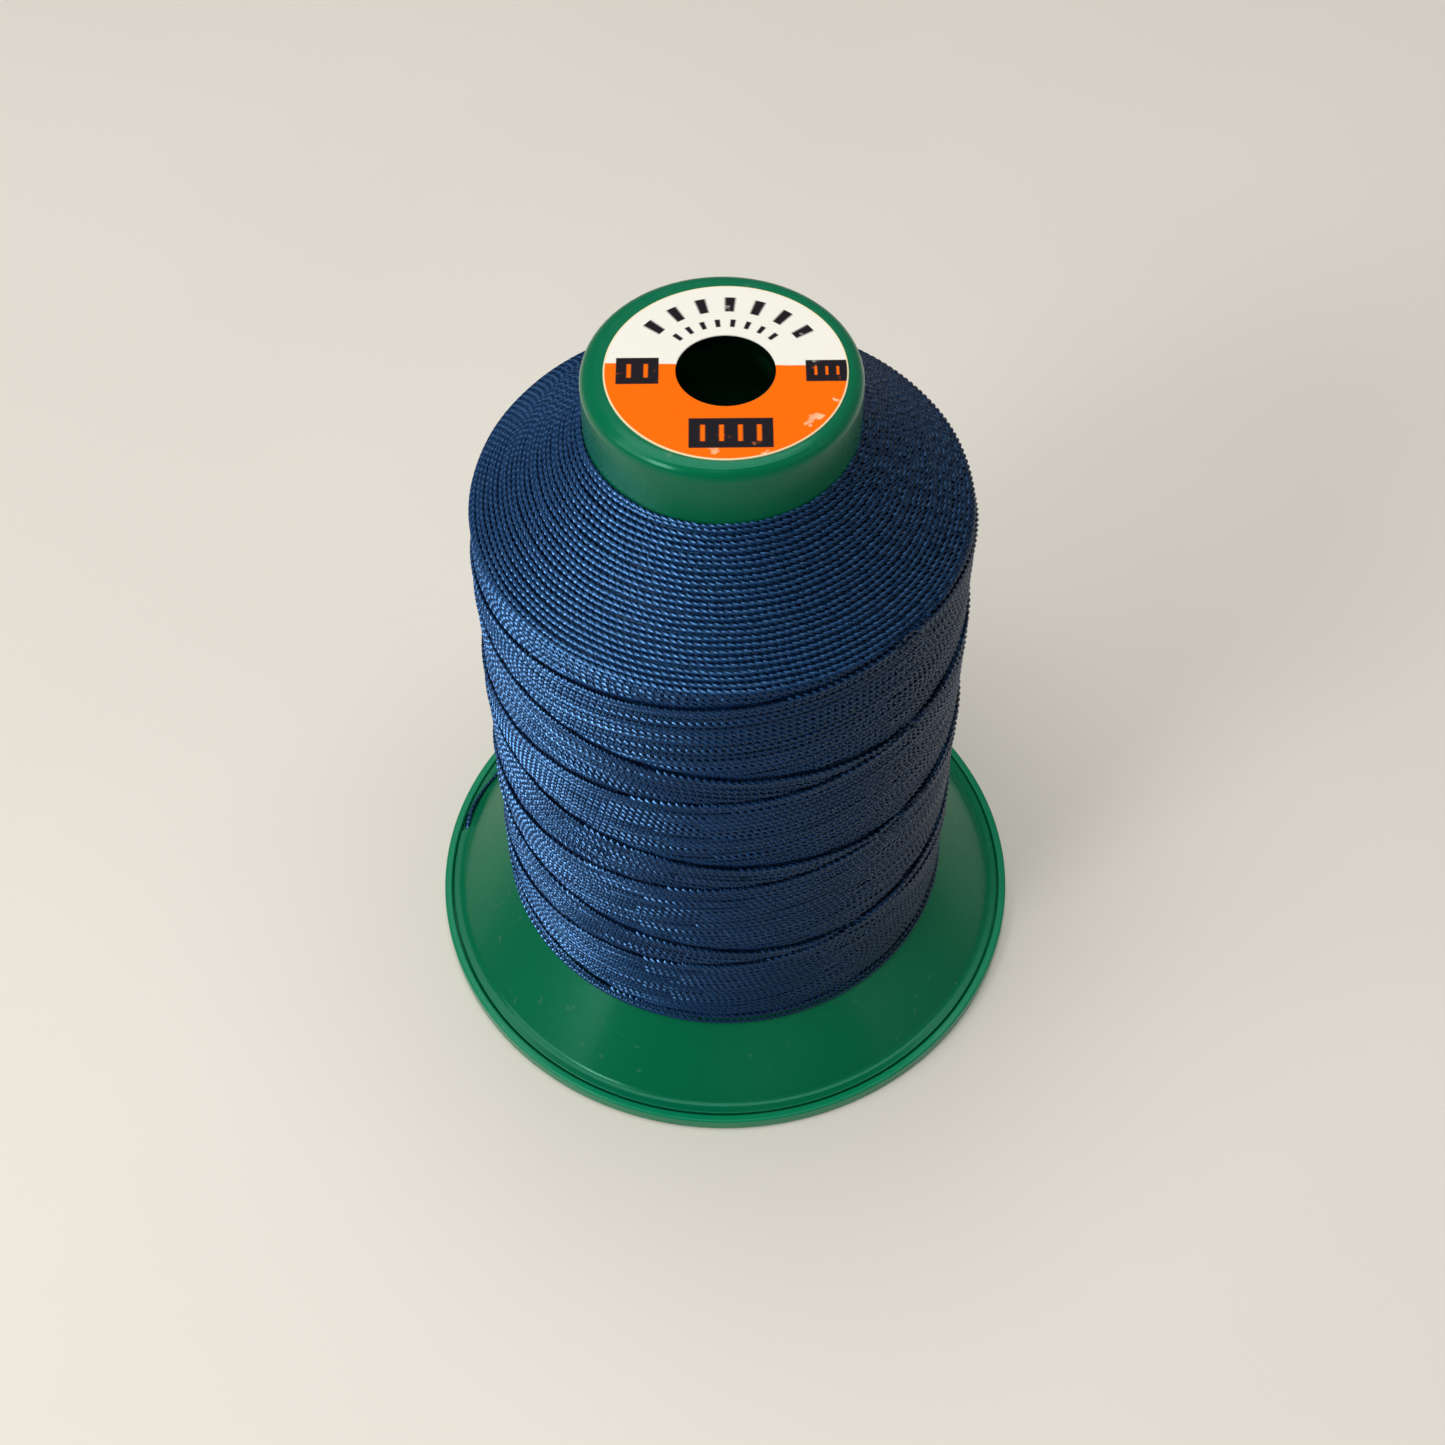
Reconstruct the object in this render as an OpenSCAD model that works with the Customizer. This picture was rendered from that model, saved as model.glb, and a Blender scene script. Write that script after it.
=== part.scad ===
// King spool of sewing thread: a flanged tube, a snap-in base cap, the wound thread and its label.
// Origin at the centre of the base, on the surface that the spool stands on. +Z runs up the tube.

/* [Overall] */
// Outside diameter of the base cap
base_d = 75; // [66:1:100]
// Height from the table to the top of the tube
spool_h = 94; // [70:1:130]

/* [Tube] */
// Outside diameter of the tube that the thread is wound on
tube_d = 26; // [20:0.5:34]
// Thickness of the tube's wall
tube_wall = 2; // [1.6:0.1:2.6]
// Thickness of the web across the tube's top
web_t = 2; // [1.2:0.1:3]
// Diameter of the spindle hole
spindle_d = 11; // [6:0.5:14]
// Radius where the tube's wall meets the underside of the web
web_fillet = 1; // [0.4:0.1:1.5]

/* [Collar] */
// Step from the tube out to the collar
collar_step = 1.4; // [0.6:0.1:3]
// Height of the collar
collar_h = 7.4; // [4:0.2:12]
// Radius of the collar's top edge
collar_round = 1.6; // [0.6:0.1:2]

/* [Flange] */
// Slope of the flange's cone from the horizontal
cone_angle = 47; // [40:1:58]
// Wall of the flange's cone, square to its surface
cone_wall = 1.6; // [1.2:0.1:2]
// Width of the flat band outside the cone
band_w = 1.25; // [1:0.05:2.5]
// Thickness of the flat band
band_t = 0.7; // [0.6:0.05:1.2]
// Fillet where the cone meets the band
cone_fillet = 1.2; // [0.4:0.1:2]
// Radius of the band's outer edge
edge_round = 0.15; // [0.1:0.05:0.3]
// Radius of the scallop that lets the thread's end through the edge
notch_r = 1.6; // [1.2:0.1:2.4]
// How far the scallop reaches in from the edge
notch_deep = 1; // [0.6:0.05:1.2]
// Direction of the scallop, anticlockwise from +X
notch_at = 168; // [0:1:359]

/* [Base cap] */
// Width of the upturned lip
lip_w = 1.05; // [0.8:0.05:2]
// Thickness of the cap's floor
floor_t = 0.9; // [0.7:0.05:1.4]
// Radius of the lip's top edges
lip_round = 0.3; // [0.2:0.05:0.5]
// Width of the ring that the cap stands on
foot_w = 7; // [4:0.5:12]
// How far the floor inside that ring is raised
foot_h = 0.2; // [0.1:0.05:0.4]
// Height of the boss's top above the table
boss_h = 4.2; // [2:0.2:8]
// Wall of the boss
boss_wall = 1.6; // [1:0.1:2]

/* [Snap hub] */
// How far the cap pulls out
travel = 3; // [2:0.5:5]
// Wall of the hub
hub_wall = 1.3; // [1:0.1:1.6]
// Height of the hub and its fingers above the floor
hub_h = 16; // [14:1:22]
// Number of spring fingers
finger_count = 4; // [3:1:6]
// Width of the slots between the fingers
finger_gap = 2.4; // [1.5:0.1:4]
// Height of the solid ring below the fingers
hub_ring_h = 5; // [3:0.5:7]
// How far the bead stands out from the fingers
bead_out = 0.5; // [0.3:0.05:0.7]
// Height of the bead
bead_h = 1.4; // [1:0.1:2]

/* [Thread] */
// Thickness of the thread that is wound on the tube's foot, beside the cone
wound_foot = 14.86; // [10:0.2:20]
// Thickness of the thread at the shoulder
wound_shoulder = 14.19; // [9:0.2:20]
// Height of the shoulder's edge below the collar
shoulder_drop = 11.3; // [7:0.2:18]
// How far the thread stands out from the collar where they meet
wound_past = 0.5; // [0.1:0.1:2]
// How far the side swells between its ends
side_swell = 0.22; // [0:0.02:0.6]
// Radius of the shoulder's edge
shoulder_round = 2; // [1:0.25:4]
// Radius of the edge at the thread's foot
wound_foot_round = 0.3; // [0.2:0.05:0.6]
// Diameter of one thread
thread_d = 0.5; // [0.4:0.05:0.7]

/* [Label] */
// Flat margin left round a centred label
label_inset = 0.5; // [0.4:0.1:2]
// Thickness of the label
label_t = 0.15; // [0.1:0.05:0.3]
// How far the label's hole clears the spindle hole
label_clear = 0.2; // [0.1:0.1:1]
// How far the label sits off the tube's centre
label_shift = 0.4; // [0:0.1:0.4]

/* [Fits] */
// Radial gap between the hub and the tube's bore
hub_gap = 0.06; // [0.02:0.01:0.1]
// Gap between the flange's edge and the cap's lip
seam_gap = 0.15; // [0.15:0.05:0.4]
// Gap under the flange's edge, where the thread's end is held
clamp_gap = 0.35; // [0.3:0.05:0.6]
// Clearance round the bead in its groove
groove_gap = 0.1; // [0.05:0.05:0.2]

/* [Hidden] */
$fn = 96;
round_steps = 8;
past = 1; // how far a cutter runs past the face it opens
tube_r = tube_d / 2;
bore_r = tube_r - tube_wall;
collar_r = tube_r + collar_step;
collar_z = spool_h - collar_h;
base_r = base_d / 2;
lip_in_r = base_r - lip_w;
edge_r = lip_in_r - seam_gap;
band_z = floor_t + clamp_gap;
band_top = band_z + band_t;
cone_foot_r = edge_r - band_w;
cone_slope = tan(cone_angle);
cone_drop = cone_wall / cos(cone_angle); // the cone's wall, measured straight down
cone_top_z = cone_z(tube_r);
inner_foot_r = cone_foot_r - (band_z - band_top + cone_drop) / cone_slope;
foot_chamfer = 0.3;
bead_taper = 0.3;
bead_z = floor_t + hub_h - bead_h;
hub_r = bore_r - hub_gap;
hub_in_r = hub_r - hub_wall;
groove_z = bead_z - travel;
groove_top = bead_z + bead_h + groove_gap;
groove_r = hub_r + bead_out + groove_gap;
lead_in = 0.5; // chamfer inside the tube's lower end
foot_r = tube_r + wound_foot;
shoulder_r = tube_r + wound_shoulder;
shoulder_z = collar_z - shoulder_drop;
swell_steps = 10;
label_r = collar_r - collar_round - label_inset;
label_hole_r = spindle_d / 2 + label_clear;
green = "#0b7a4d";
navy = "#1d3a70";

// The thread's end: where it lies, in degrees ahead of the scallop, and how far it has come down,
// from 0 at the package's foot to 1 at the middle of the band, then how far it dips below the band
tail_route = [
    [55, -0.04, 0], [52, 0, 0], [49, 0.01, 0], [46, 0.03, 0], [43, 0.07, 0], [40, 0.12, 0], [37, 0.18, 0],
    [34, 0.25, 0], [31, 0.33, 0], [28, 0.42, 0], [25, 0.52, 0], [22, 0.62, 0], [19, 0.72, 0],
    [16, 0.82, 0], [13, 0.9, 0], [10, 0.95, 0], [7, 0.98, 0], [4, 1, 0], [2, 1, 0.1],
    [0, 1, 0.4], [-1, 1, 0.8]
];
tail_sides = 8;
thread_r = thread_d / 2;
tail_outset = 0.1; // how far outside the band's middle the thread lies
band_r = edge_r - band_w / 2 + tail_outset;

// Height of the cone's upper surface at radius r
function cone_z(r) = band_top + (cone_foot_r - r) * cone_slope;

// A point of the thread's end, lying on the cone or on the band
function tail_point(p) =
    let (
        t = notch_at - p[0],
        start_r = foot_r + thread_r,
        r = start_r + (band_r - start_r) * p[1],
        on_cone = cone_z(r) + thread_r / cos(cone_angle),
        on_band = band_top + thread_r
    )
    [r * cos(t), r * sin(t), max(on_cone, on_band) - p[2]];

// Points along an arc of radius r about [x, y], from angle a to angle b
function arc(x, y, r, a, b) = [
    for (i = [0 : round_steps])
        let (t = a + (b - a) * i / round_steps) [x + r * cos(t), y + r * sin(t)]
];

function unit(v) = v / norm(v);

// Points that round the corner b between a and c with radius r
function rounded(a, b, c, r) =
    let (
        u = unit(a - b),
        v = unit(c - b),
        half = acos(u * v) / 2,
        middle = b + unit(u + v) * r / sin(half),
        from = b + u * r / tan(half) - middle,
        to = b + v * r / tan(half) - middle,
        start = atan2(from[1], from[0]),
        turn = atan2(to[1], to[0]) - start,
        sweep = turn > 180 ? turn - 360 : turn < -180 ? turn + 360 : turn
    )
    arc(middle[0], middle[1], r, start, start + sweep);

module turned(outline) {
    rotate_extrude() polygon(outline);
}

// A tube along a route: each ring is square to the route's mean direction there
module swept(route, r, sides) {
    last = len(route) - 1;
    points = [
        for (i = [0 : last])
            let (
                ahead = unit(route[min(i + 1, last)] - route[max(i - 1, 0)]),
                side = unit(cross(ahead, [0, 0, 1])),
                over = cross(side, ahead)
            )
            for (k = [0 : sides - 1])
                let (t = 360 * (k + 0.5) / sides) route[i] + r * (cos(t) * side + sin(t) * over)
    ];
    walls = [
        for (i = [0 : last - 1], k = [0 : sides - 1])
            let (a = i * sides, b = (k + 1) % sides)
            [a + k, a + b, a + sides + b, a + sides + k]
    ];
    start = [[for (k = [0 : sides - 1]) sides - 1 - k]];
    end = [[for (k = [0 : sides - 1]) last * sides + k]];
    polyhedron(points, concat(start, walls, end));
}

module spool_body() {
    spindle_r = spindle_d / 2;
    web_z = spool_h - web_t;
    under_cone = [tube_r, cone_top_z - cone_drop];
    color(green) difference() {
        turned(concat(
            [[bore_r + lead_in, floor_t], [tube_r, floor_t], under_cone, [inner_foot_r, band_z]],
            [[edge_r, band_z]],
            arc(edge_r - edge_round, band_top - edge_round, edge_round, 0, 90),
            rounded([edge_r, band_top], [cone_foot_r, band_top], [tube_r, cone_top_z], cone_fillet),
            [[tube_r, cone_top_z], [tube_r, collar_z], [collar_r, collar_z]],
            arc(collar_r - collar_round, spool_h - collar_round, collar_round, 0, 90),
            [[spindle_r, spool_h], [spindle_r, web_z]],
            arc(bore_r - web_fillet, web_z - web_fillet, web_fillet, 90, 0),
            [[bore_r, groove_top + bead_out], [groove_r, groove_top]],
            [[groove_r, groove_z], [bore_r, groove_z], [bore_r, floor_t + lead_in]]
        ));
        rotate([0, 0, notch_at])
            translate([edge_r - notch_deep + notch_r, 0, band_z - past])
                cylinder(r = notch_r, h = band_t + 2 * past);
    }
}

module base_cap() {
    spindle_r = spindle_d / 2;
    boss_r = spindle_r + boss_wall;
    foot_in_r = base_r - foot_w;
    slot_x = (boss_r + hub_in_r) / 2;
    color(green) difference() {
        turned(concat(
            [[spindle_r, foot_h], [foot_in_r, foot_h], [foot_in_r + foot_h, 0]],
            [[base_r - foot_chamfer, 0], [base_r, foot_chamfer]],
            arc(base_r - lip_round, band_top - lip_round, lip_round, 0, 90),
            arc(lip_in_r + lip_round, band_top - lip_round, lip_round, 90, 180),
            [[lip_in_r, floor_t], [hub_r, floor_t], [hub_r, bead_z]],
            [[hub_r + bead_out, bead_z], [hub_r + bead_out, bead_z + bead_h / 2]],
            [[hub_r - bead_taper, bead_z + bead_h], [hub_in_r, bead_z + bead_h]],
            [[hub_in_r, floor_t], [boss_r, floor_t], [boss_r, boss_h], [spindle_r, boss_h]]
        ));
        for (i = [0 : finger_count - 1])
            rotate([0, 0, (i + 0.5) * 360 / finger_count])
                translate([slot_x, -finger_gap / 2, floor_t + hub_ring_h])
                    cube([hub_r + bead_out, finger_gap, hub_h]);
    }
}

module thread_package() {
    foot_z = cone_z(foot_r);
    dr = shoulder_r - foot_r;
    dz = shoulder_z - foot_z;
    side = [
        for (i = [1 : swell_steps - 1])
            let (t = i / swell_steps)
            [foot_r + dr * t + 4 * side_swell * t * (1 - t), foot_z + dz * t]
    ];
    foot = [foot_r, foot_z];
    shoulder = [shoulder_r, shoulder_z];
    top = [collar_r + wound_past, collar_z];
    color(navy) turned(concat(
        [[tube_r, cone_top_z]],
        rounded([tube_r, cone_top_z], foot, side[0], wound_foot_round),
        side,
        rounded(side[len(side) - 1], shoulder, top, shoulder_round),
        [top, [tube_r, collar_z]]
    ));
}

module thread_tail() {
    color(navy) swept([for (p = tail_route) tail_point(p)], thread_r, tail_sides);
}

module top_label() {
    color("#ff7300") difference() {
        translate([label_shift, 0, spool_h]) cylinder(r = label_r, h = label_t);
        translate([0, 0, spool_h - past]) cylinder(r = label_hole_r, h = label_t + 2 * past);
    }
}

spool_body();
base_cap();
thread_package();
thread_tail();
top_label();
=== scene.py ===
import math
import bpy
import numpy as np
from mathutils import Matrix


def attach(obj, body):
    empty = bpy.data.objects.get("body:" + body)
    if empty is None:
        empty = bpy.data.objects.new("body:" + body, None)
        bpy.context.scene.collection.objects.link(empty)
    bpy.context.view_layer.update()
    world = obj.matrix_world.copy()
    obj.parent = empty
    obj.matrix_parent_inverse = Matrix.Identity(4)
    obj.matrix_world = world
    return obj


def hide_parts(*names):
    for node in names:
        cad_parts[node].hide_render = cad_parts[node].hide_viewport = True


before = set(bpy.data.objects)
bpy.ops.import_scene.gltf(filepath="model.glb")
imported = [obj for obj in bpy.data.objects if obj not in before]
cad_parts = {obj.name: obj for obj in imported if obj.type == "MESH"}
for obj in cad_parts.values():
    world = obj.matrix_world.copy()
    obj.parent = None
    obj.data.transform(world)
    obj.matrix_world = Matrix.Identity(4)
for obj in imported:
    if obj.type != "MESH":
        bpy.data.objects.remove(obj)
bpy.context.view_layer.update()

mm = 0.001
scene = bpy.context.scene
scene.view_settings.view_transform = "Standard"
print("frame loaded:", sorted(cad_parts))


# Camera

camera = {
    "place": (-0.0002, -0.1581, 0.2471),
    "downTilt": 53.37,
    "roll": -0.45,
    "lens": 54.06,
    "sensor": 36.0,
}


def placeCamera(settings):
    data = bpy.data.cameras.new("spoolCamera")
    data.lens = settings["lens"]
    data.sensor_width = settings["sensor"]
    data.clip_start = 0.01
    cam = bpy.data.objects.new("spoolCamera", data)
    cam.location = settings["place"]
    turn = Matrix.Rotation(math.radians(90 - settings["downTilt"]), 3, "X")
    turn @= Matrix.Rotation(math.radians(settings["roll"]), 3, "Z")
    cam.rotation_euler = turn.to_euler()
    scene.collection.objects.link(cam)
    scene.camera = cam


placeCamera(camera)
print("camera placed")


# Strands: three plies twisted together, drawn as rings whose corners follow the plies

strand = {
    "plies": 3,
    "valley": 0.40,      # share of the radius left at the bottom of the groove between plies
    "shoulderTurn": 20,  # degrees either side of a ply's middle
    "shoulder": 0.97,
    "hideBeyond": -0.3,  # cosine past which the side lying on the package isn't drawn
}


def ringShape():
    angles, reaches = [], []
    for ply in range(strand["plies"]):
        middle = (ply + 0.5) * 360 / strand["plies"]
        angles += [middle - 180 / strand["plies"], middle - strand["shoulderTurn"],
                   middle + strand["shoulderTurn"]]
        reaches += [strand["valley"], strand["shoulder"], strand["shoulder"]]
    return np.radians(angles), np.array(reaches)


def newLay():
    return {"points": [], "faces": [], "uvs": [], "shades": [], "count": 0}


def layStrand(lay, path, outward, keep, lead, wide, high, shade, phase=0.0, whole=False):
    # path and outward are rows of points and directions; wide and high are half sizes
    step = np.linalg.norm(np.diff(path, axis=0), axis=1)
    along = np.concatenate([[0], np.cumsum(step)])
    tangent = np.gradient(path, axis=0)
    tangent /= np.linalg.norm(tangent, axis=1)[:, None]
    normal = outward - tangent * np.sum(outward * tangent, axis=1)[:, None]
    normal /= np.linalg.norm(normal, axis=1)[:, None]
    across = np.cross(tangent, normal)
    angles, reaches = ringShape()
    n = len(angles)
    turn = angles[None, :] + (2 * np.pi * along / lead)[:, None] + phase
    high = np.broadcast_to(high, along.shape)[:, None]
    wide = np.broadcast_to(wide, along.shape)[:, None]
    ring = (path[:, None, :]
            + normal[:, None, :] * (np.cos(turn) * reaches * high)[:, :, None]
            + across[:, None, :] * (np.sin(turn) * reaches * wide)[:, :, None])
    i, j = np.meshgrid(np.arange(len(path) - 1), np.arange(n), indexing="ij")
    nextJ = (j + 1) % n
    corners = np.stack([i * n + j, i * n + nextJ, (i + 1) * n + nextJ, (i + 1) * n + j], axis=-1)
    faceTurn = turn[i, j] + np.where(nextJ > j, angles[nextJ] - angles[j],
                                     angles[nextJ] - angles[j] + 2 * np.pi) / 2
    shown = keep[i] & keep[i + 1]
    if not whole:
        shown &= np.cos(faceTurn) > strand["hideBeyond"]
    faces = corners[shown]
    # u runs along the strand in mm, v once round each ply, which has three sides
    v0 = j[shown] / 3
    v1 = v0 + 1 / 3
    u0, u1 = along[i[shown]], along[i[shown] + 1]
    uv = np.stack([np.stack([u0, v0], -1), np.stack([u0, v1], -1),
                   np.stack([u1, v1], -1), np.stack([u1, v0], -1)], axis=1)
    used, small = np.unique(faces, return_inverse=True)
    lay["points"].append(ring.reshape(-1, 3)[used])
    lay["faces"].append(small.reshape(faces.shape) + lay["count"])
    lay["uvs"].append(uv.reshape(-1, 2))
    lay["shades"].append(np.full(len(faces), shade))
    lay["count"] += len(used)


def meshFrom(lay, name):
    points = np.concatenate(lay["points"]) * mm
    faces = np.concatenate(lay["faces"]).astype(np.int32)
    mesh = bpy.data.meshes.new(name)
    mesh.vertices.add(len(points))
    mesh.vertices.foreach_set("co", points.astype(np.float32).ravel())
    mesh.loops.add(faces.size)
    mesh.loops.foreach_set("vertex_index", faces.ravel())
    mesh.polygons.add(len(faces))
    mesh.polygons.foreach_set("loop_start", np.arange(0, faces.size, 4, dtype=np.int32))
    mesh.update(calc_edges=True)
    mesh.polygons.foreach_set("use_smooth", np.ones(len(faces), dtype=bool))
    layer = mesh.uv_layers.new(name="alongStrand")
    layer.data.foreach_set("uv", np.concatenate(lay["uvs"]).astype(np.float32).ravel())
    shade = mesh.attributes.new("strandShade", "FLOAT", "FACE")
    shade.data.foreach_set("value", np.concatenate(lay["shades"]).astype(np.float32))
    mesh.validate()
    piece = bpy.data.objects.new(name, mesh)
    scene.collection.objects.link(piece)
    return piece


# Thread end: from the package's foot, over the flange and down at the notch in its edge

tail = {
    "notchAt": 168, "threadRadius": 0.25, "lead": 2.0, "step": 0.25,
    "footRadius": 27.86, "bandMiddle": 35.775, "bandTop": 1.95, "coneFoot": 35.05,
    "coneAngle": 47, "frayLength": 7.0, "frayRadius": 0.62, "tipLength": 0.5, "shade": 0.45,
    # the last entry darkens the thread end's colour: painted shade
    "paintedShade": 0.5,
    # degrees ahead of the notch, share down from the foot to the band, dip below the band
    "route": [
        (55, -0.04, 0), (52, 0, 0), (49, 0.01, 0), (46, 0.03, 0), (43, 0.07, 0), (40, 0.12, 0),
        (37, 0.18, 0), (34, 0.25, 0), (31, 0.33, 0), (28, 0.42, 0), (25, 0.52, 0),
        (22, 0.62, 0), (19, 0.72, 0), (16, 0.82, 0), (13, 0.9, 0), (10, 0.95, 0),
        (7, 0.98, 0), (4, 1, 0), (2, 1, 0.1), (0, 1, 0.4), (-1, 1, 0.8),
    ],
}


def coneHeight(r):
    return tail["bandTop"] + (tail["coneFoot"] - r) * math.tan(math.radians(tail["coneAngle"]))


def tailPoints(t):
    start = t["footRadius"] + t["threadRadius"]
    rows = []
    for ahead, down, dip in t["route"]:
        angle = math.radians(t["notchAt"] - ahead)
        r = start + (t["bandMiddle"] - start) * down
        z = max(coneHeight(r) + t["threadRadius"] / math.cos(math.radians(t["coneAngle"])),
                t["bandTop"] + t["threadRadius"]) - dip
        rows.append((r * math.cos(angle), r * math.sin(angle), z))
    return np.array(rows)


def smoothPath(points, step):
    # Catmull-Rom through the points, then evenly spaced
    ends = np.vstack([2 * points[0] - points[1], points, 2 * points[-1] - points[-2]])
    fine = []
    for k in range(len(points) - 1):
        a, b, c, d = ends[k:k + 4]
        for s in np.linspace(0, 1, 24, endpoint=False):
            fine.append(0.5 * (2 * b + (c - a) * s + (2 * a - 5 * b + 4 * c - d) * s ** 2
                               + (3 * b - a - 3 * c + d) * s ** 3))
    fine = np.array(fine + [points[-1]])
    along = np.concatenate([[0], np.cumsum(np.linalg.norm(np.diff(fine, axis=0), axis=1))])
    even = np.linspace(0, along[-1], int(along[-1] / step))
    return np.stack([np.interp(even, along, fine[:, k]) for k in range(3)], axis=1), even


def makeTail(t):
    path, along = smoothPath(tailPoints(t), t["step"])
    out = path * (1, 1, 0)
    out /= np.linalg.norm(out, axis=1)[:, None]
    out = out * math.sin(math.radians(t["coneAngle"]))
    out[:, 2] = math.cos(math.radians(t["coneAngle"]))
    left = along[-1] - along
    fray = np.clip(1 - left / t["frayLength"], 0, 1)
    size = t["threadRadius"] + (t["frayRadius"] - t["threadRadius"]) * fray
    tip = np.clip(left / t["tipLength"], 0.02, 1)
    size = np.where(left < t["tipLength"], size * np.sqrt(tip), size)
    lay = newLay()
    layStrand(lay, path, out, np.ones(len(path), bool), t["lead"], size,
              t["threadRadius"] * (size / size.max() * 0.3 + 0.8), t["shade"], whole=True)
    return meshFrom(lay, "threadEnd")


threadEnd = makeTail(tail)
print("thread end laid,", len(threadEnd.data.polygons), "faces")


# Floor, studio light

studio = {
    "floorSize": 8.0, "floorColour": (0.74, 0.71, 0.65), "floorGrain": 9, "floorSpread": 0.97,
    "floorRoughness": 0.55, "floorSpecular": 0.3,
    "skyColour": (0.82, 0.82, 0.82), "skyStrength": 0.22,
    "lights": [
        # name, place, aim, width, height, watts, colour
        ("windowLeft", (-0.52, -0.24, 0.38), (0, 0, 0.04), 0.40, 0.40, 1.15, (1.0, 0.985, 0.95)),
        ("ceiling", (-0.05, 0.05, 0.90), (0, 0, 0.05), 0.90, 0.90, 6.7, (1.0, 0.985, 0.955)),
        ("glintLeft", (-0.34, -0.32, 0.38), (0, 0, 0.05), 0.14, 0.14, 0.75, (1.0, 0.98, 0.93)),
        ("bounceRight", (0.60, -0.25, 0.35), (0, 0, 0.05), 0.40, 0.40, 0.15, (0.95, 0.97, 1.0)),
    ],
    # falls on the thread alone, so that its lustre shows without a hard shadow on the floor
    "lustre": ("threadLustre", (-0.46, -0.38, 0.23), (0, 0, 0.04), 0.26, 0.26, 8.0,
               (1.0, 0.99, 0.97)),
}


def newTree(name):
    mat = bpy.data.materials.new(name)
    mat.use_nodes = True
    mat.node_tree.nodes.clear()
    return mat, mat.node_tree


def node(tree, kind, x=0, y=0, **settings):
    made = tree.nodes.new("ShaderNode" + kind)
    made.location = (x, y)
    for key, value in settings.items():
        setattr(made, key, value)
    return made


def join(tree, source, target):
    tree.links.new(source, target)


def fill(tree, socket, value):
    # a link if the value is a socket, else a plain number or colour
    if hasattr(value, "is_linked"):
        tree.links.new(value, socket)
    elif isinstance(value, (tuple, list)) and len(value) == 3 and len(socket.default_value) == 4:
        socket.default_value = (*value, 1)
    else:
        socket.default_value = value


def sums(tree, operation, a, b=0.0, c=None, clamp=False):
    made = node(tree, "Math", operation=operation, use_clamp=clamp)
    fill(tree, made.inputs[0], a)
    fill(tree, made.inputs[1], b)
    if c is not None:
        fill(tree, made.inputs[2], c)
    return made.outputs[0]


def between(tree, value, low, high):
    # 0 below low, 1 above high, smooth in between
    made = node(tree, "MapRange", interpolation_type="SMOOTHSTEP")
    fill(tree, made.inputs["Value"], value)
    fill(tree, made.inputs["From Min"], low)
    fill(tree, made.inputs["From Max"], high)
    return made.outputs["Result"]


def mixColour(tree, share, a, b, blend="MIX"):
    made = node(tree, "Mix", data_type="RGBA", blend_type=blend)
    fill(tree, made.inputs[0], share)
    fill(tree, made.inputs[6], a)
    fill(tree, made.inputs[7], b)
    return made.outputs[2]


def makeLamp(name, place, aim, width, height, watts, colour):
    data = bpy.data.lights.new(name, "AREA")
    data.shape = "RECTANGLE"
    data.size, data.size_y = width, height
    data.energy = watts
    data.color = colour
    lamp = bpy.data.objects.new(name, data)
    lamp.location = place
    away = np.array(place) - np.array(aim)
    flat = math.hypot(away[0], away[1])
    lamp.rotation_euler = (math.atan2(flat, away[2]), 0,
                           math.atan2(away[1], away[0]) + math.pi / 2)
    scene.collection.objects.link(lamp)
    return lamp


def makeStudio(s):
    half = s["floorSize"] / 2
    mesh = bpy.data.meshes.new("paleFloor")
    mesh.from_pydata([(-half, -half, 0), (half, -half, 0), (half, half, 0), (-half, half, 0)],
                     [], [(0, 1, 2, 3)])
    floor = bpy.data.objects.new("paleFloor", mesh)
    scene.collection.objects.link(floor)
    mat, tree = newTree("paleFloor")
    out = node(tree, "OutputMaterial", 400)
    skin = node(tree, "BsdfPrincipled", 100)
    place = node(tree, "TexCoord", -700)
    grain = node(tree, "TexNoise", -500)
    grain.inputs["Scale"].default_value = s["floorGrain"]
    grain.inputs["Detail"].default_value = 4
    join(tree, place.outputs["Object"], grain.inputs["Vector"])
    colour = mixColour(tree, between(tree, grain.outputs["Fac"], 0.3, 0.7), s["floorColour"],
                       tuple(c * s["floorSpread"] for c in s["floorColour"]))
    join(tree, colour, skin.inputs["Base Color"])
    skin.inputs["Roughness"].default_value = s["floorRoughness"]
    skin.inputs["Specular IOR Level"].default_value = s["floorSpecular"]
    join(tree, skin.outputs[0], out.inputs[0])
    mesh.materials.append(mat)
    world = bpy.data.worlds.new("softRoom")
    scene.world = world
    world.use_nodes = True
    back = world.node_tree.nodes["Background"]
    back.inputs["Color"].default_value = (*s["skyColour"], 1)
    back.inputs["Strength"].default_value = s["skyStrength"]
    for row in s["lights"]:
        makeLamp(*row)


makeStudio(studio)
threadLit = bpy.data.collections.new("threadLit")
makeLamp(*studio["lustre"]).light_linking.receiver_collection = threadLit
print("studio lit")


# Shared shader groups

def newGroup(name, takes, gives):
    group = bpy.data.node_groups.new(name, "ShaderNodeTree")
    for label, kind, value in takes:
        socket = group.interface.new_socket(label, in_out="INPUT", socket_type=kind)
        socket.default_value = value
    for label, kind in gives:
        group.interface.new_socket(label, in_out="OUTPUT", socket_type=kind)
    return group, group.nodes.new("NodeGroupInput"), group.nodes.new("NodeGroupOutput")


def useGroup(tree, group, **values):
    made = node(tree, "Group")
    made.node_tree = group
    for key, value in values.items():
        fill(tree, made.inputs[key], value)
    return made


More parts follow.
